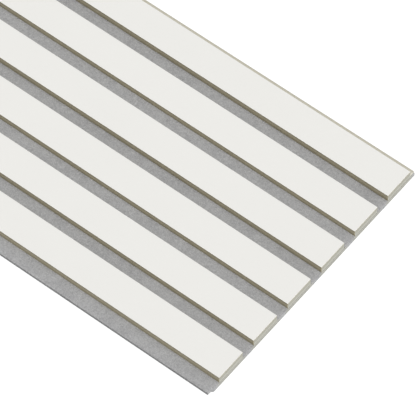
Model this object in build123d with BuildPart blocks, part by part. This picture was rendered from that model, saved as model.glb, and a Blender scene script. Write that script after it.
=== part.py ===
"""Slatted acoustic wall panel: white-faced MDF slats glued to a needle-felt backing.

The panel lies on its back. X runs along the slats, Z is up through the layers and the
origin is under the middle of the panel. The rebated edge is at +Y, the felt flap at -Y.
"""
import os

from build123d import *

# Driving dimensions, in millimetres
panel_length = 1200.0
slat_count = 6
slat_width = 27.5
slat_gap = 12.5

# Layers, from the wall outwards
felt_thickness = 3.0
core_thickness = 6.0
facing_thickness = 0.6
facing_arris = 0.25

# Long edges: the ledge left by the rebate in the first slat, and the bare felt past the last one
ledge_width = 4.8
ledge_thickness = 1.8
flap_width = 11.7

# Short ends: the felt runs on past the sawn slats, and one corner of its flap is trimmed at +X
felt_overhang = 0.5
trim_length = 1.7
trim_width = 4.0

# Places worked out from the driving dimensions
slat_pitch = slat_width + slat_gap
slats_span = slat_count * slat_pitch - slat_gap
panel_width = ledge_width + slats_span + flap_width
first_slat_y = panel_width / 2 - ledge_width - slat_width / 2
slat_length = panel_length - 2 * felt_overhang
slat_end_plane = Plane.YZ.offset(-slat_length / 2)
core_top = felt_thickness + core_thickness

os.makedirs("parts", exist_ok=True)

# Felt backing: one sheet under all the slats, with one corner of its flap trimmed
with BuildPart() as felt_backing:
    with BuildSketch(Plane.XY):
        Rectangle(panel_length, panel_width)
        with Locations((panel_length / 2, -panel_width / 2)):
            Rectangle(trim_length, trim_width, align=(Align.MAX, Align.MIN), mode=Mode.SUBTRACT)
    extrude(amount=felt_thickness)
felt_backing.part.label = "felt_backing"
export_step(felt_backing.part, "parts/felt_backing.step")

for number in range(1, slat_count + 1):
    slat_y = first_slat_y - (number - 1) * slat_pitch

    # MDF core: a plain strip, except that the first one keeps a low ledge along its outer side
    with BuildPart() as slat_core:
        with BuildSketch(slat_end_plane):
            with Locations((slat_y, felt_thickness)):
                Rectangle(slat_width, core_thickness, align=(Align.CENTER, Align.MIN))
            if number == 1:
                with Locations((slat_y + slat_width / 2, felt_thickness)):
                    Rectangle(ledge_width, ledge_thickness, align=(Align.MIN, Align.MIN))
        extrude(amount=slat_length)
    slat_core.part.label = f"slat_core_{number}"
    export_step(slat_core.part, f"parts/slat_core_{number}.step")

    # White facing: a laminate strip over the whole top of the core, its long arrises eased
    with BuildPart() as slat_facing:
        with BuildSketch(slat_end_plane):
            with Locations((slat_y, core_top)):
                Rectangle(slat_width, facing_thickness, align=(Align.CENTER, Align.MIN))
        extrude(amount=slat_length)
        top_edges = slat_facing.faces().sort_by(Axis.Z)[-1].edges()
        fillet(top_edges.filter_by(Axis.X), radius=facing_arris)
    slat_facing.part.label = f"slat_facing_{number}"
    export_step(slat_facing.part, f"parts/slat_facing_{number}.step")
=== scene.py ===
# %% [markdown]
# # A slatted acoustic panel
# Six strips of MDF with a thin white laminate on top are glued side by side to a sheet of grey needle felt.
# The strips scatter sound, and the felt between and behind them soaks it up. The panel lies on its back: X
# runs along the slats, Y across them, and Z points out of the white faces. Every length here is in metres,
# so a value in millimetres is written as a number times `MM`.

# %% Load the frame
import math

import bpy
import numpy as np
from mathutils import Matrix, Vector


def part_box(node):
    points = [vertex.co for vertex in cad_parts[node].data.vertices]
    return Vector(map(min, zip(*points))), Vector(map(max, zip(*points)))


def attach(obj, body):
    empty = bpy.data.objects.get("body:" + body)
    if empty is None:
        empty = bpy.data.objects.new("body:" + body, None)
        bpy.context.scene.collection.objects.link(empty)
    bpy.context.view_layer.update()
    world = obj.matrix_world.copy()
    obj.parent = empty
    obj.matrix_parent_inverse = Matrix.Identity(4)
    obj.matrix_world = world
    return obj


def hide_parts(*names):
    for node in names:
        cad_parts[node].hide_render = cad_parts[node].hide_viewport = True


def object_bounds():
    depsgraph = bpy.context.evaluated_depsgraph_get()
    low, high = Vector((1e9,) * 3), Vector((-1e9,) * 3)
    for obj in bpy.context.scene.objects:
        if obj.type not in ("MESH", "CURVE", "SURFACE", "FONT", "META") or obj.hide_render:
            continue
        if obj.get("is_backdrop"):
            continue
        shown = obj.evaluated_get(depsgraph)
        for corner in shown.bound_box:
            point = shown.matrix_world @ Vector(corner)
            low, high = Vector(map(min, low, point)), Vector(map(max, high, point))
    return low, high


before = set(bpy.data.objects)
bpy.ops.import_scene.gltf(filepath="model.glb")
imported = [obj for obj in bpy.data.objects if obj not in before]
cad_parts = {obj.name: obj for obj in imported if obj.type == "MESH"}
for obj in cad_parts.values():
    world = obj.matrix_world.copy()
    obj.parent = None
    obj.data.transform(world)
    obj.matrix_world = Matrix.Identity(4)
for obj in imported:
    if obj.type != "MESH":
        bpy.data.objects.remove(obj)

MM = 0.001
cad_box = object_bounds()


def in_mm(values):
    """Lengths in metres as rounded millimetres, for printing."""
    return [round(value / MM, 2) for value in values]


print("panel, mm: from", in_mm(cad_box[0]), "to", in_mm(cad_box[1]))

# %% [markdown]
# ## What the frame says
# The packed model already holds every piece at its real size and place. The pieces below are dressed
# versions of those solids, so their sizes are read from the frame and not typed in again. Slats are numbered
# from the rebated edge, at +Y, to the felt flap, at -Y.

# %% Measure the pieces
slat_numbers = range(1, 1 + sum(name.startswith("slat_core_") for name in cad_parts))
core_box = {number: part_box(f"slat_core_{number}") for number in slat_numbers}
facing_box = {number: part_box(f"slat_facing_{number}") for number in slat_numbers}
felt_low, felt_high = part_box("felt_backing")
slat_low, slat_high = core_box[1][0].x, core_box[1][1].x
print("slats:", len(slat_numbers), " felt, mm:", in_mm(felt_high - felt_low))

# %% [markdown]
# ## Shader sums written as Python
# A finish is a tree of small nodes, and a sum such as `1 - 0.3 * mask` takes several of them and their
# wires. So one class wraps a socket: each operator adds a Math node, and `node` adds any other kind. The
# other methods are the mixes, ramps and noises that the finishes share.

# %% Fields
class Field:
    """A shader socket that takes part in arithmetic. Plain numbers may stand on either side."""

    def __init__(self, tree, socket=None):
        self.tree = tree
        self.socket = socket

    def node(self, kind, settings=None, inputs=None, output=0):
        """Adds a node, sets its settings, then its sockets from values or other fields."""
        made = self.tree.nodes.new(kind)
        for name, value in (settings or {}).items():
            setattr(made, name, value)
        for name, value in (inputs or {}).items():
            if isinstance(value, Field):
                self.tree.links.new(value.socket, made.inputs[name])
            else:
                made.inputs[name].default_value = value
        return Field(self.tree, made.outputs[output])

    def outputs(self, *names):
        """Other outputs of the node that this socket belongs to."""
        return [Field(self.tree, self.socket.node.outputs[name]) for name in names]

    def math(self, operation, *terms):
        """Adds the Math node for an operation on these numbers and fields."""
        return self.node("ShaderNodeMath", {"operation": operation}, dict(enumerate(terms)))

    def __add__(self, other):
        return self.math("ADD", self, other)

    __radd__ = __add__

    def __sub__(self, other):
        return self.math("SUBTRACT", self, other)

    def __rsub__(self, other):
        return self.math("SUBTRACT", other, self)

    def __mul__(self, other):
        return self.math("MULTIPLY", self, other)

    __rmul__ = __mul__

    def __gt__(self, other):
        return self.math("GREATER_THAN", self, other)

    def __lt__(self, other):
        """Python asks this when a number stands on the left of a > sign."""
        return self.math("LESS_THAN", self, other)

    def __or__(self, other):
        """The larger of two masks, which is 1 where either is."""
        return self.math("MAXIMUM", self, other)

    __ror__ = __or__

    def __abs__(self):
        return self.math("ABSOLUTE", self)

    def ping_pong(self, limit):
        """Climbs from 0 to this limit and falls back to 0, over and over."""
        return self.math("PINGPONG", self, limit)

    def between(self, low, high):
        """The number low where this field is 0, and high where it is 1."""
        return low + (high - low) * self

    def mix(self, low, high):
        """The colour low where this field is 0, and high where it is 1. A Mix node's colours are 6 and 7."""
        return self.node("ShaderNodeMix", {"data_type": "RGBA"}, {0: self, 6: low, 7: high}, output=2)

    def ramp(self, start, end):
        """Rises smoothly from 0 at start to 1 at end."""
        return self.node("ShaderNodeMapRange", {"interpolation_type": "SMOOTHSTEP"},
                         {"Value": self, "From Min": start, "From Max": end})

    def axes(self):
        """X, Y and Z of a vector."""
        return self.node("ShaderNodeSeparateXYZ", None, {0: self}).outputs("X", "Y", "Z")

    def stretched(self, along_x, along_y, along_z):
        """Coordinates whose pattern comes out this many times longer along each axis."""
        scale = (1 / along_x, 1 / along_y, 1 / along_z)
        return self.node("ShaderNodeMapping", None, {"Vector": self, "Scale": scale})

    def noise(self, size, detail=2.0, roughness=0.5):
        """Cloudy noise, about 0.5 on average, with lumps of this size in metres."""
        inputs = {"Vector": self, "Scale": 1 / size, "Detail": detail, "Roughness": roughness}
        return self.node("ShaderNodeTexNoise", None, inputs, output="Fac")

    def strands(self, size, width):
        """1 along the winding lines where noise of this size crosses 0.5, and 0 where it is width off."""
        return abs(self.noise(size, 1.0) - 0.5).ramp(width, 0)

    def bump(self, height, strength):
        """A normal for a surface whose height in metres is this field times height."""
        return self.node("ShaderNodeBump", None, {"Height": self, "Distance": height, "Strength": strength})


print("methods of a field:", [name for name in vars(Field) if not name.startswith("_")])

# %% [markdown]
# ## Starting a finish
# Every finish starts alike: a material with one Principled shader, and the coordinates of the object that
# wears it. Those are true lengths, so a pattern keeps its real size on every piece and needs no UV map.
# Colours are written as a screen shows them, from 0 to 255, and turned into the linear values that a shader
# takes.

# %% Finishes and colours
def new_finish(name):
    """An empty material, its Principled shader, and its object coordinates as a field."""
    finish = bpy.data.materials.new(name)
    finish.use_nodes = True
    place = Field(finish.node_tree).node("ShaderNodeTexCoord", output="Object")
    return finish, finish.node_tree.nodes["Principled BSDF"], place


def feed(shader, **values):
    """Links fields to the shader's sockets. A plain number is set on the socket itself."""
    for name, value in values.items():
        socket = shader.inputs[name.replace("_", " ").title().replace("Ior", "IOR")]
        if isinstance(value, Field):
            value.tree.links.new(value.socket, socket)
        else:
            socket.default_value = value


def rgb(red, green, blue):
    """Display values from 0 to 255 as the linear colour that a shader takes."""
    share = np.array([red, green, blue]) / 255
    linear = np.where(share <= 0.04045, share / 12.92, ((share + 0.055) / 1.055) ** 2.4)
    return (*linear.tolist(), 1.0)


print("a display grey of 128 is", round(rgb(128, 128, 128)[0], 3), "of white in a shader")

# %% [markdown]
# ## White laminate
# The facing is a printed white paper pressed over brown backing paper: matt, very slightly pebbled, and
# white only on its skin. Seen from the side, the brown backing shows as a line under the white, and a paler
# one where the saw has just gone through it. Side faces could get a material of their own, but the position
# alone tells the papers and the cut apart, so one material reads the object's coordinates.

# %% White laminate finish
DECOR_SKIN = 0.1 * MM
CUT_SKIN = 0.02 * MM
DECOR_WHITE = rgb(236.2, 235.2, 231.2), rgb(236.8, 235.8, 231.8)
BACKING_BROWN, BACKING_SAWN = rgb(146, 136, 114), rgb(194, 191, 177)
SHADE_SIZE, PEBBLE_SIZE = 40 * MM, 0.35 * MM
PEBBLE_HEIGHT = 0.02 * MM
facing_top = facing_box[1][1].z


def white_laminate():
    """White down to DECOR_SKIN below the top, in two close shades, and below that the backing's brown, which
    is paler within CUT_SKIN of an end."""
    finish, shader, place = new_finish("white_laminate")
    x, _, z = place.axes()
    pebble = place.noise(PEBBLE_SIZE, detail=3.0)
    white = place.noise(SHADE_SIZE).ramp(0.3, 0.7).mix(*DECOR_WHITE)
    end = abs(x) > slat_high - CUT_SKIN
    skin = z > facing_top - DECOR_SKIN
    backing = end.mix(BACKING_BROWN, BACKING_SAWN)
    feed(shader, base_color=skin.mix(backing, white), roughness=0.72 + 0.12 * pebble,
         specular_ior_level=0.3, normal=pebble.bump(PEBBLE_HEIGHT, strength=0.4))
    return finish


laminate = white_laminate()
print("made", laminate.name, "with", len(laminate.node_tree.nodes), "nodes")

# %% [markdown]
# ## Raw MDF
# MDF is wood fibre pressed flat, so fibres lie along the board and show as short streaks on its sides. The
# press leaves a dense, darker skin above a looser middle. The foot of the long sides is darker too: partly a
# dense lower skin, and partly painted shade where the sides meet the felt. The sawn ends are paler, because
# a fresh cut opens the fibres, and so is the milled ledge, though less so towards its outer edge. Ends,
# sides and ledge could have a material each, but all of this follows from where a point lies: X tells an end
# from a side, Y tells the ledge, and Z tells the skin and the shaded foot from the middle.

# %% MDF finish
SIDE_WOOD = rgb(177, 169, 142), rgb(197, 189, 163)
SAWN_WOOD = rgb(178, 178, 167), rgb(194, 194, 183)
MILLED_WOOD = rgb(214, 210, 196), rgb(190, 186, 171)
DENSE_WOOD_AND_SHADE = rgb(96, 84, 62)
STREAK_SIZE, STREAK_HEIGHT = 0.25 * MM, 0.05 * MM
FLECK_SIZE, FLECK_SHARE = 0.5 * MM, 0.25
# Where each starts and where it is full: below the top, above the bottom, and outwards along the ledge
SKIN_DEPTH = 2.6 * MM, 1.2 * MM
FOOT_SKIN_AND_SHADE_HEIGHT = 3.5 * MM, 1.9 * MM
OUTER_DARKENING_WIDTH = 1.8 * MM, 4 * MM
# How much lower the darker band under the top reaches on an end
DEEPER_AT_END = 1.4 * MM
# Shares of dark wood on a side and on an end: in the top skin, and at the foot for a denser lower skin with
# painted shade where the sides meet the felt
SKIN_SHARE, FOOT_SKIN_AND_SHADE_SHARE = (0.16, 0.24), (0.4, 0.05)
core_bottom, core_top = core_box[1][0].z, core_box[1][1].z
step_y = facing_box[1][1].y


def raw_mdf():
    """Streaks of two shades of wood, other shades on an end and on the ledge, mixed with dark wood in the
    skin and in flecks, and at the foot with dark wood for a denser lower skin and painted shade by the felt."""
    finish, shader, place = new_finish("raw_mdf")
    x, y, z = place.axes()
    end = abs(x) > slat_high - CUT_SKIN
    ledge = y > step_y + CUT_SKIN
    skin = (core_top - z - DEEPER_AT_END * end).ramp(*SKIN_DEPTH)
    # Painted shade where the long sides meet the felt, over a denser lower skin
    foot_skin_and_shade = (z - core_bottom).ramp(*FOOT_SKIN_AND_SHADE_HEIGHT)
    # The milled ledge is darker towards its outer edge
    outer_darkening = (y - step_y).ramp(*OUTER_DARKENING_WIDTH)
    fibres = place.stretched(12, 12, 1).noise(STREAK_SIZE, detail=4.0, roughness=0.6)
    streaks = fibres.ramp(0.25, 0.75)
    flecks = place.stretched(3, 3, 1).noise(FLECK_SIZE).ramp(0.62, 0.72)
    milled = (0.8 * outer_darkening + 0.2 * streaks).mix(*MILLED_WOOD)
    wood = ledge.mix(streaks.mix(*SIDE_WOOD), milled)
    wood = end.mix(wood, streaks.mix(*SAWN_WOOD))
    skins_and_foot_shade = end.between(*SKIN_SHARE) * skin + end.between(*FOOT_SKIN_AND_SHADE_SHARE) * foot_skin_and_shade
    dense_and_shaded = (1 - ledge) * skins_and_foot_shade + FLECK_SHARE * flecks
    feed(shader, base_color=dense_and_shaded.mix(wood, DENSE_WOOD_AND_SHADE), roughness=0.85,
         normal=fibres.bump(STREAK_HEIGHT, strength=0.6))
    return finish


mdf = raw_mdf()
print("made", mdf.name, "with", len(mdf.node_tree.nodes), "nodes")

# %% [markdown]
# ## Strips from arrays
# A slat is sawn from a board, so each of its layers is a profile carried along X. A scaled cube with a Bevel
# modifier would do for the plain ones, but the first core has a step in its profile. One array serves both:
# `grid[i, j]` is point `j` of the profile at station `i`, quads join each point to its neighbours, and the
# two ends are closed. The profile runs anticlockwise as seen from +X, which makes every face point outwards.

# %% A closed strip
def new_piece(name, points, faces):
    """A mesh object at the origin from an array of points and a list of faces."""
    mesh = bpy.data.meshes.new(name)
    mesh.from_pydata(points.reshape(-1, 3).tolist(), [], faces)
    piece = bpy.data.objects.new(name, mesh)
    bpy.context.scene.collection.objects.link(piece)
    return piece


def closed_strip(name, grid, paired=False):
    """Quads join grid[i, j], grid[i, j+1], grid[i+1, j+1] and grid[i+1, j], and j wraps round. Each end is
    one face, or, when paired, a row of quads from point j to its partner j places from the loop's end."""
    index = np.arange(grid.shape[0] * grid.shape[1]).reshape(grid.shape[:2])
    here, there = index[:-1], index[1:]
    faces = np.stack([here, np.roll(here, -1, 1), np.roll(there, -1, 1), there], -1).reshape(-1, 4).tolist()
    half = grid.shape[1] // 2
    for end in (index[0, ::-1], index[-1]):
        partner = end[::-1]
        quads = np.stack([end[:half - 1], end[1:half], partner[1:half], partner[:half - 1]], -1)
        faces += quads.tolist() if paired else [end.tolist()]
    return new_piece(name, grid, faces)


def dress(piece, finish, slot, *nodes):
    """Gives a piece its finish, lets it ride with the panel and hides the solids that it stands for."""
    piece.data.materials.append(finish)
    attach(piece, "root")
    if nodes:
        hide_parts(*nodes)
    return piece


print("slats run from", *in_mm([slat_low, slat_high]), "mm along X")

# %% [markdown]
# ## Broken corners
# A saw and a wipe of sandpaper leave a slat's corners broken by a fraction of a millimetre, and the thin
# curve catches light. A Bevel modifier breaks every corner, but core and facing are sawn as one, and where
# they meet there is no groove. So each side of a profile says how much it is eased, and a corner takes the
# lesser of two. The size is that of the facing's solid, whose flat top ends short of its sides.

# %% A profile with broken corners
ARRIS_STEPS = 4
facing_points = np.array([vertex.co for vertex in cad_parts["slat_facing_1"].data.vertices])
flat_points = facing_points[np.isclose(facing_points[:, 2], facing_top)]
arris = facing_box[1][1].y - flat_points[:, 1].max()


def eased_loop(corners, ease, drawn_in):
    """Side i, which leaves corner i, moves inwards by drawn_in times ease[i]. Each corner P becomes the
    curve (1-t)^2 A + 2t(1-t) P + t^2 B, where A and B lie before and after P by the lesser ease of its two
    sides. Where that is 0, the corner stays one point."""
    corners, ease = np.asarray(corners), np.asarray(ease)[:, None]
    leaving = np.roll(corners, -1, 0) - corners
    leaving /= np.linalg.norm(leaving, axis=1, keepdims=True)
    arriving = np.roll(leaving, 1, 0)
    inward = drawn_in * ease * np.stack([-leaving[:, 1], leaving[:, 0]], 1)
    moved = (corners + inward + np.roll(inward, 1, 0))[:, None]
    radius = np.minimum(ease, np.roll(ease, 1, 0))[:, None]
    t = np.linspace(0, 1, ARRIS_STEPS)[None, :, None]
    before, after = moved - radius * arriving[:, None], moved + radius * leaving[:, None]
    curve = (1 - t) ** 2 * before + 2 * t * (1 - t) * moved + t ** 2 * after
    return curve[((radius > 0) | (t == 0))[..., 0]]


def sawn_strip(name, corners, glued):
    """The eased loop of the corners runs from one end of a slat to the other, and draws in over the last
    arris of its length. The side with the number glued stays as it is."""
    ease = np.where(np.arange(len(corners)) == glued, 0, arris)
    stations = {slat_low: 1, slat_low + arris: 0, slat_high - arris: 0, slat_high: 1}
    loops = np.stack([eased_loop(corners, ease, drawn_in) for drawn_in in stations.values()])
    x = np.broadcast_to(np.array(list(stations))[:, None, None], (*loops.shape[:2], 1))
    return closed_strip(name, np.concatenate([x, loops], -1))


print("broken corners, mm:", *in_mm([arris]))

# %% [markdown]
# ## The slats
# Each slat is a core and a facing, a rectangle each. The first core has two more corners, because a rebate
# leaves a low ledge along its outer side. The ledge's height is the one level of that solid's points that
# lies between its bottom and its top. An Array modifier could repeat one slat, but every core and facing is
# a piece of its own, so a loop makes each from its own box.

# %% Cores and facings
def rectangle(low, high):
    """The corners (y, z) of a box's section, anticlockwise from the lowest."""
    return [(low.y, low.z), (high.y, low.z), (high.y, high.z), (low.y, high.z)]


def stepped(low, high):
    """The rectangle with a ledge: the full height stops at step_y, and the ledge reaches on to high.y."""
    levels = np.unique([round(vertex.co.z, 6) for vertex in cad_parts["slat_core_1"].data.vertices])
    ledge_z = levels[1]
    ledge_corners = [(high.y, ledge_z), (step_y, ledge_z), (step_y, high.z)]
    return [(low.y, low.z), (high.y, low.z), *ledge_corners, (low.y, high.z)]


for number in slat_numbers:
    corners = stepped(*core_box[1]) if number == 1 else rectangle(*core_box[number])
    core = sawn_strip(f"mdf_core_{number}", corners, glued=len(corners) - 2)
    dress(core, mdf, "mdf", f"slat_core_{number}")
    facing = sawn_strip(f"white_facing_{number}", rectangle(*facing_box[number]), glued=0)
    dress(facing, laminate, "white_laminate", f"slat_facing_{number}")
print("slats dressed:", len(slat_numbers), " points in the last core:", len(core.data.vertices))

# %% [markdown]
# ## Needle felt
# Felt is a tangle of light and dark grey fibres punched together with barbed needles. From a step away it is
# an even grey with a soft mottle, and close by single fibres show. A picture of felt could be tiled over it,
# but the repeats would show along the strips, so the mottle is noise at three sizes. The thin lines where
# other noise crosses its middle value wind about like fibres that lie in the surface. The saw that cut the
# panel to length went through wood and felt, so under the ends of the slats the felt is dusted with wood.
# The slats repeat, and a ping-pong of Y gives the distance from the middle of the nearest.

# %% Felt finish
FELT_GREY = rgb(151, 151, 152), rgb(180, 180, 180)
PALE_STRAND, PALE_SHARE = rgb(213, 213, 213), 0.28
DARK_STRAND, DARK_SHARE = rgb(111, 111, 113), 0.36
CLOUD_SIZE, TUFT_SIZE, GRAIN_SIZE = 9 * MM, 1.6 * MM, 0.35 * MM
FELT_BUMP = 0.3 * MM
SAWDUST, DUST_SHARE = rgb(181, 178, 154), 0.35
DUST_REACH = 19 * MM, 12 * MM
slat_middle = (facing_box[1][0].y + facing_box[1][1].y) / 2
slat_pitch = facing_box[1][0].y - facing_box[2][0].y


def dusty(place, grey):
    """The grey with a share of sawdust beyond the ends of the slats. The two lengths of DUST_REACH are how
    far from the middle of a slat the dust is gone, and how far from it the dust is still full."""
    x, y, _ = place.axes()
    from_slat = (y - slat_middle).ping_pong(slat_pitch / 2)
    dust = (abs(x) > slat_high) * from_slat.ramp(*DUST_REACH)
    return (DUST_SHARE * dust).mix(grey, SAWDUST)


def needle_felt():
    """Two greys by a sum of three noises, then dark and pale strands over them, and sawdust at the ends."""
    finish, shader, place = new_finish("needle_felt")
    cloud, tuft = place.noise(CLOUD_SIZE), place.noise(TUFT_SIZE)
    grain = place.noise(GRAIN_SIZE, detail=4.0, roughness=0.65)
    lengthwise = place.stretched(1.6, 0.8, 1).strands(size=1.3 * MM, width=0.05)
    crosswise = place.stretched(0.8, 1.5, 1).strands(size=0.9 * MM, width=0.06)
    dark = place.stretched(1.2, 1.4, 1).strands(size=1.1 * MM, width=0.05)
    pale = lengthwise + crosswise
    grey = (0.15 * cloud + 0.35 * tuft + 0.5 * grain).ramp(0.36, 0.64).mix(*FELT_GREY)
    grey = (DARK_SHARE * dark).mix(grey, DARK_STRAND)
    grey = (PALE_SHARE * pale).mix(grey, PALE_STRAND)
    height = 0.35 * tuft + 0.35 * grain + 0.2 * pale
    feed(shader, base_color=dusty(place, grey), roughness=0.95, specular_ior_level=0.15,
         normal=height.bump(FELT_BUMP, strength=0.6))
    return finish


felt_grey = needle_felt()
print("made", felt_grey.name, "with", len(felt_grey.node_tree.nodes), "nodes")

# %% [markdown]
# ## The felt's surface
# Glue and pressure flatten the felt under the slats, and beside them it stands up against their sides, more
# between some slats than between others. Over the flap it settles again, and the knife has pressed its cut
# edge down. The surface is gently lumpy. Sculpting that by hand would take hours, but a sum of cosine waves
# with seeded lengths and directions is smooth noise that whole arrays can work out.

# %% Felt heights
# One swell for each bare strip, in the order of the slats, and the flap's last
SWELLS = np.array([0, 0.7, 0, 0.6, 0.3, 0.3]) * MM
FLAP_SINK = 0.35 * MM
LUMP = 0.06 * MM
WAVE_COUNT, WAVE_SEED = 60, 11
WAVE_LENGTHS = 5 * MM, 22 * MM
bare_strips = [(core_box[number + 1][1].y, core_box[number][0].y) for number in slat_numbers[:-1]]
flap = (felt_low.y, core_box[slat_numbers[-1]][0].y)
bare_strips.append(flap)
wave_random = np.random.default_rng(WAVE_SEED)
wave_number = 2 * math.pi / wave_random.uniform(*WAVE_LENGTHS, WAVE_COUNT)
wave_angle, wave_phase = wave_random.uniform(0, 2 * math.pi, (2, WAVE_COUNT))


def lumps(x, y):
    """Sum of cos(k (x cos a + y sin a) + p) over the waves, scaled to a spread of about one."""
    way = x[..., None] * np.cos(wave_angle) + y[..., None] * np.sin(wave_angle)
    return np.cos(way * wave_number + wave_phase).sum(-1) * math.sqrt(2 / WAVE_COUNT)


def felt_top(x, y):
    """Height of the felt: level under the slats, and where it is bare higher by its strip's swell, plus LUMP
    times lumps. Over the flap the swell falls evenly, to FLAP_SINK below that level at the edge."""
    bare = [(y > low) & (y < high) for low, high in bare_strips]
    swell = np.select(bare, [*SWELLS[:-1], np.interp(y, flap, (-FLAP_SINK, SWELLS[-1]))])
    return felt_high.z + swell + np.any(bare, axis=0) * LUMP * lumps(x, y)


print("bare strips of felt, mm:", [in_mm(strip) for strip in bare_strips])

# %% [markdown]
# ## The felt sheet
# One sheet of felt lies under all the slats, cut square except at one corner of the flap. A plane with
# Solidify and Bevel modifiers could make it, but here the columns across and the stations along crowd
# together where the shape turns: at a cut edge, where the top drops in a quarter circle, and at the side of
# a slat, where the felt stands up. Every column has a point on top and one on the bottom, so quads between
# the two close the sheet all round, also at the trimmed corner, where the columns end sooner. That corner
# gives the felt's solid one more level in X and in Y. It is cut on the slant, so there the end of a column
# moves evenly from one end line to the other.

# %% Felt sheet
COLUMN_STEP = 1.25 * MM
STATION_STEP = 4 * MM
SEAM = 0.03 * MM
FELT_ROUND = 0.15 * MM
EDGE_STEPS = FELT_ROUND * np.array([0, 0.1, 0.3, 0.6, 1.0])
TRIM_SLANT = 1.6 * MM
SHARP_FOLD = math.radians(35)
felt_points = np.array([vertex.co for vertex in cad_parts["felt_backing"].data.vertices]).round(6)
trim_x, trim_y = np.unique(felt_points[:, 0])[-2], np.unique(felt_points[:, 1])[1]
slant = (trim_y - TRIM_SLANT / 2, trim_y + TRIM_SLANT / 2)


def cut_drop(distance):
    """Drop of a quarter circle of radius FELT_ROUND at this distance from a cut edge."""
    inside = np.clip(FELT_ROUND - distance, 0, FELT_ROUND)
    return FELT_ROUND - np.sqrt(FELT_ROUND ** 2 - inside ** 2)


def felt_columns():
    """The y of every column: even steps over bare felt, and more at edges, seams and the trimmed corner."""
    columns = [felt_low.y + EDGE_STEPS, felt_high.y - EDGE_STEPS, slant]
    for low, high in bare_strips:
        count = round((high - low) / COLUMN_STEP) + 1
        columns += [[low, high], np.linspace(low + SEAM, high - SEAM, count)]
    return np.unique(np.concatenate(columns).round(6))


def felt_sheet():
    """Top points (x, y, felt_top - drops) and bottom points (x, y, bottom) on one grid. Between the crowded
    stations at its two ends, those of a column are spread evenly. Each loop runs along the bottom and back
    over the top."""
    y = felt_columns()
    x_end = np.interp(y, slant, (trim_x, felt_high.x))
    inner = np.arange(STATION_STEP, felt_high.x - felt_low.x - STATION_STEP / 2, STATION_STEP)
    share = (np.concatenate([EDGE_STEPS, inner]) / (felt_high.x - felt_low.x))[:, None]
    x = np.concatenate([felt_low.x + share * (x_end - felt_low.x), x_end - EDGE_STEPS[::-1, None]])
    y = np.broadcast_to(y, x.shape)
    from_end = np.minimum(x - felt_low.x, x_end - x)
    from_side = np.minimum(y - felt_low.y, felt_high.y - y)
    top = np.stack([x, y, felt_top(x, y) - cut_drop(from_end) - cut_drop(from_side)], -1)
    bottom = np.stack([x, y, np.full_like(x, felt_low.z)], -1)
    return closed_strip("needle_felt", np.concatenate([bottom, top[:, ::-1]], 1), paired=True)


felt = dress(felt_sheet(), felt_grey, "felt", "felt_backing")
felt.data.shade_smooth()
felt.data.set_sharp_from_angle(angle=SHARP_FOLD)
print("felt faces:", len(felt.data.polygons), " corner trimmed at, mm:", in_mm([trim_x, trim_y]))

# %% [markdown]
# ## Loose fibres
# Needles leave loops and ends of fibre standing out of the felt, most of all along a cut, and they catch the
# light. Blender's hair could grow them, but it is no mesh that can be handed on. So each one is a thin tube
# along a path worked out in the flat of a face: it arches over the felt and dips back in, or ends free. One
# array holds all the fibres of a face, and the face then says where its flat lies in space.

# %% Paths of fibres
FIBRE_STATIONS = 5
FIBRE_WANDER = 1.2
FIBRE_SUNK = 0.03 * MM
FREE_SHARE = 0.35


def folded(value, span):
    """A value that runs past either limit comes back as if from a mirror there."""
    low, high = span
    return high - abs(high - low - abs(value - low))


def fibre_paths(count, across_u, across_v, longest, highest, random):
    """A fibre starts at a random (u, v) and takes n steps L/n (cos a, sin a), while its heading a turns
    evenly. L is at least a quarter of longest. With s from 0 to 1 along the fibre, its height is
    4 h s (1 - s) for the arch plus l s^3 for a free end, less FIBRE_SUNK. Here h is a tenth to a half of
    highest, and l is 0 to all of it."""
    each = (count, 1)
    s = np.linspace(0, 1, FIBRE_STATIONS)
    step = random.uniform(longest / 4, longest, each) / FIBRE_STATIONS
    heading = random.uniform(0, 2 * math.pi, each) + random.normal(0, FIBRE_WANDER, each) * s
    u = random.uniform(*across_u, each) + np.cumsum(np.cos(heading), 1) * step
    v = random.uniform(*across_v, each) + np.cumsum(np.sin(heading), 1) * step
    arch = random.uniform(highest / 10, highest / 2, each)
    lift = random.uniform(0, highest, each) * (random.random(each) < FREE_SHARE)
    height = 4 * arch * s * (1 - s) + lift * s ** 3 - FIBRE_SUNK
    return folded(u, across_u), folded(v, across_v), height


print("stations on a fibre:", FIBRE_STATIONS)

# %% [markdown]
# ## From a path to a tube
# A fibre is about as thick as a hair, and felt is carded from lighter and darker ones. A bevelled curve
# could be drawn along every path, but thousands of curves are slow to turn into meshes. So rings of three
# points are set round all the paths at once and joined, and each fibre's tone is kept as an attribute of its
# points.

# %% Tubes along the paths
FIBRE_RADIUS = 0.025 * MM
FIBRE_TIP = 0.4
FIBRE_SIDES = 3
FIBRE_GREY = rgb(150, 150, 152), rgb(196, 196, 198)


def felt_fibre():
    """Two greys mixed by the tone of each fibre, with the felt's sawdust at the ends."""
    finish, shader, place = new_finish("felt_fibre")
    tone = place.node("ShaderNodeAttribute", {"attribute_name": "tone"}, output="Fac")
    feed(shader, base_color=dusty(place, tone.mix(*FIBRE_GREY)), roughness=0.8, specular_ior_level=0.2)
    return finish


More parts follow.
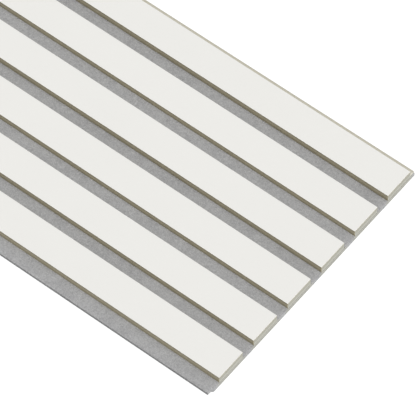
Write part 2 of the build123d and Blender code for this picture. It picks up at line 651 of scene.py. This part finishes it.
def fibre_tubes(name, path, normal, random):
    """Rings path + r (cos q side + sin q normal), where side is normal x direction, and r is less at both
    tips. Every fibre has one tone from dark to light."""
    side = np.cross(normal, np.gradient(path, axis=1))
    side /= np.linalg.norm(side, axis=-1, keepdims=True)
    turn = np.arange(FIBRE_SIDES)[:, None] * 2 * math.pi / FIBRE_SIDES
    radius = np.full((FIBRE_STATIONS, 1, 1), FIBRE_RADIUS)
    radius[[0, -1]] *= FIBRE_TIP
    points = path[:, :, None] + radius * (np.cos(turn) * side[:, :, None] + np.sin(turn) * np.array(normal))
    index = np.arange(points.size // 3).reshape(points.shape[:3])
    here, there = index[:, :-1], index[:, 1:]
    sides = np.stack([here, np.roll(here, -1, 2), np.roll(there, -1, 2), there], -1).reshape(-1, 4)
    tips = np.concatenate([index[:, 0, ::-1], index[:, -1]])
    piece = new_piece(name, points, sides.tolist() + tips.tolist())
    tone = np.repeat(random.random(len(path)), FIBRE_STATIONS * FIBRE_SIDES)
    piece.data.attributes.new("tone", "FLOAT", "POINT").data.foreach_set("value", tone)
    piece.data.shade_smooth()
    return piece


fibre_grey = felt_fibre()
print("triangles in a fibre:", 2 * FIBRE_SIDES * (FIBRE_STATIONS - 1) + 2 * (FIBRE_SIDES - 2))

# %% [markdown]
# ## Fibres on the bare felt
# Felt shows between the slats and on the flap. Fibres could be scattered over the whole sheet, but those
# under the slats would never be seen, so each bare strip gets its own. They lie on the felt's own surface:
# `felt_top` gives the level under every point of a path, and the path's height is added to it.

# %% Fibres on the bare strips
FIBRES_ON_TOP = 3600
TOP_LENGTH, TOP_HEIGHT = 5 * MM, 0.5 * MM
CLEAR, CLEAR_OF_END = 0.3 * MM, 1 * MM

along = (felt_low.x + CLEAR_OF_END, trim_x - CLEAR_OF_END)
for number, (low, high) in enumerate(bare_strips, 1):
    random = np.random.default_rng(number)
    across = (low + CLEAR, high - CLEAR)
    x, y, height = fibre_paths(FIBRES_ON_TOP, along, across, TOP_LENGTH, TOP_HEIGHT, random)
    path = np.stack([x, y, felt_top(x, y) + height], -1)
    dress(fibre_tubes(f"felt_fibres_{number}", path, (0, 0, 1), random), fibre_grey, "felt")
print("fibres on", len(bare_strips), "strips:", FIBRES_ON_TOP * len(bare_strips))

# %% [markdown]
# ## Fringe on the cut edges
# A blade pulls fibres out of the four edges that it cuts. A fringe could be painted on with transparency,
# but it would look flat from the side, so these are the same tubes, shorter and closer together. Their paths
# run along an edge and up it, and what was height on the bare strips now points out of the edge.

# %% Fibres on the cut edges
FIBRES_PER_MM = 1.8
CUT_LENGTH, CUT_HEIGHT = 2.5 * MM, 0.4 * MM
FRINGE_SEED = 21

upright = (felt_low.z + CLEAR, felt_high.z - FLAP_SINK - CLEAR)
# The way each edge faces, where it lies that way, and its run from one end to the other
cut_edges = {
    "flap": ((0, -1, 0), felt_low.y, (felt_low.x, trim_x)),
    "ledge": ((0, 1, 0), felt_high.y, (felt_low.x, felt_high.x)),
    "near_end": ((1, 0, 0), felt_high.x, (slant[1], felt_high.y)),
    "far_end": ((-1, 0, 0), felt_low.x, (felt_low.y, felt_high.y)),
}
for seed, (name, (normal, level, (low, high))) in enumerate(cut_edges.items(), FRINGE_SEED):
    random = np.random.default_rng(seed)
    count = round(FIBRES_PER_MM * (high - low) / MM)
    run, z, height = fibre_paths(count, (low + CLEAR, high - CLEAR), upright, CUT_LENGTH, CUT_HEIGHT, random)
    out = level + sum(normal) * height
    path = np.stack([out, run, z] if normal[0] else [run, out, z], -1)
    dress(fibre_tubes(f"felt_fringe_{name}", path, normal, random), fibre_grey, "felt")
    print("fringe on the", name, "edge:", count, "fibres")

# %% [markdown]
# ## Floor and sky
# The panel lies on a white floor under an even white sky. A floor bright enough to look white by its light
# alone would throw that light back at the panel, so part of its white is a glow that only the camera and
# clear reflections meet. The rest is the light that falls on it, and so it keeps the panel's shadow.

# %% Floor and sky
SKY = 0.5
FLOOR_SIZE = 12.0
FLOOR_DROP = 0.05 * MM
FLOOR_SEEN, FLOOR_BOUNCE = rgb(215, 215, 215), rgb(150, 150, 150)
FLOOR_GLOW = 0.46


def seen_directly(field):
    """1 for light on its way to the camera, by way of a mirror or glass too, and 0 for all other light."""
    paths = field.node("ShaderNodeLightPath")
    camera, mirror, glass = paths.outputs("Is Camera Ray", "Is Glossy Ray", "Is Transmission Ray")
    return camera | mirror | glass


def white_sky():
    """White that lights the panel with strength SKY, and is plain white where it is seen directly."""
    world = bpy.data.worlds.new("white_sky")
    world.use_nodes = True
    background = world.node_tree.nodes["Background"]
    background.inputs["Color"].default_value = (1, 1, 1, 1)
    strength = seen_directly(Field(world.node_tree)).between(SKY, 1)
    world.node_tree.links.new(strength.socket, background.inputs["Strength"])
    return world


def white_floor():
    """Matt grey that bounces light as FLOOR_BOUNCE, and is seen as FLOOR_SEEN with a glow of FLOOR_GLOW."""
    finish, shader, place = new_finish("white_floor")
    direct = seen_directly(place)
    glow = direct.mix((0, 0, 0, 1), (FLOOR_GLOW, FLOOR_GLOW, FLOOR_GLOW, 1))
    feed(shader, base_color=direct.mix(FLOOR_BOUNCE, FLOOR_SEEN), roughness=1.0, specular_ior_level=0.0,
         emission_color=glow, emission_strength=1.0)
    return finish


floor_corners = np.array([(-1, -1, 0), (1, -1, 0), (1, 1, 0), (-1, 1, 0)]) * FLOOR_SIZE / 2
floor = new_piece("floor", floor_corners + [0, 0, felt_low.z - FLOOR_DROP], [(0, 1, 2, 3)])
floor.data.materials.append(white_floor())
floor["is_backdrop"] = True
bpy.context.scene.world = white_sky()
print("floor, m:", FLOOR_SIZE, " sky strength:", SKY)

# %% [markdown]
# ## Lamp
# One soft lamp stands low beyond the sawn ends, a little to the flap's side, which is why the ends are
# brighter than the long sides. An area lamp would light the near end more than the far one. A sun lamp
# lights the whole length alike, and its wide angle keeps its shadows soft.

# %% Lamp
LAMP_HEIGHT = math.radians(36)
LAMP_TURN = math.radians(8)
LAMP_STRENGTH = 2.67
LAMP_SPREAD = math.radians(30)


def direction(turn, height):
    """Unit vector at the angle height above the floor, turned from +X towards -Y."""
    level = math.cos(height)
    return Vector((math.cos(turn) * level, -math.sin(turn) * level, math.sin(height)))


lamp = bpy.data.objects.new("end_lamp", bpy.data.lights.new("end_lamp", "SUN"))
lamp.data.energy = LAMP_STRENGTH
lamp.data.angle = LAMP_SPREAD
lamp.rotation_euler = direction(LAMP_TURN, LAMP_HEIGHT).to_track_quat("Z", "Y").to_euler()
bpy.context.scene.collection.objects.link(lamp)
print("light on a level face:", round(SKY + LAMP_STRENGTH * math.sin(LAMP_HEIGHT) / math.pi, 3))

# %% [markdown]
# ## Camera
# The picture looks down on one end of the panel with nearly parallel edges. An orthographic camera would
# draw them fully parallel, but they close up a little towards the back, so the lens is long and the camera
# stands more than three metres away. Its aim is measured from the corner of the first white facing.

# %% Camera
CAMERA_TURN = math.radians(51.69)
CAMERA_HEIGHT = math.radians(56.01)
CAMERA_DISTANCE = 3.326
CAMERA_LENS = 394.1
AIM_FROM_CORNER = Vector((-97.61, -117.48, 0)) * MM

backwards = direction(CAMERA_TURN, CAMERA_HEIGHT)
camera = bpy.data.objects.new("camera", bpy.data.cameras.new("camera"))
camera.data.lens = CAMERA_LENS
camera.location = facing_box[1][1] + AIM_FROM_CORNER + CAMERA_DISTANCE * backwards
camera.rotation_euler = backwards.to_track_quat("Z", "Y").to_euler()
bpy.context.scene.collection.objects.link(camera)
bpy.context.scene.camera = camera
bpy.context.scene.view_settings.view_transform = "Standard"
print("camera at, mm:", in_mm(camera.location))

# %% [markdown]
# ## The dressed panel
# The box of the dressed panel is printed, so that its size can be compared with that of the solids,
# which is printed at the start.

# %% Finish
visual_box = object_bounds()
print("dressed panel, mm: from", in_mm(visual_box[0]), "to", in_mm(visual_box[1]))
